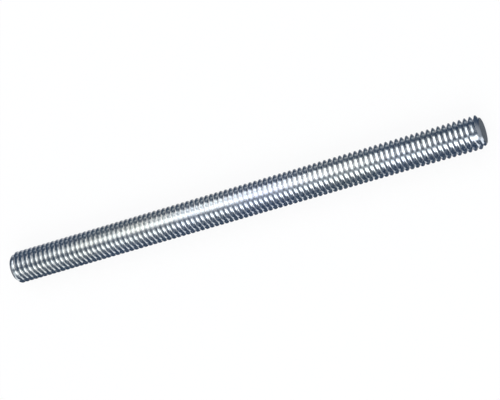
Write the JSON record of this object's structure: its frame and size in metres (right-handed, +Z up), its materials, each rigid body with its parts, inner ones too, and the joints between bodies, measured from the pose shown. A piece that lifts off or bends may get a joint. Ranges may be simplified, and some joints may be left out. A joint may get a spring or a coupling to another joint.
{
  "type": "threaded rod",
  "caption": "Straight steel rod with a right-hand metric thread from end to end, cut square and chamfered at both ends.",
  "frame": {"origin": "centre of the left end face, on the rod's axis", "axes": "+X along the rod's axis, from the left end face to the right one; +Z up"},
  "size_m": [0.12, 0.0076, 0.0078],
  "materials": {
    "zinc_plated_steel": "rolled thread, bright zinc plated with a blue-white passivation"
  },
  "bodies": {
    "root": {"threaded_rod": "zinc_plated_steel"}
  },
  "joints": []
}
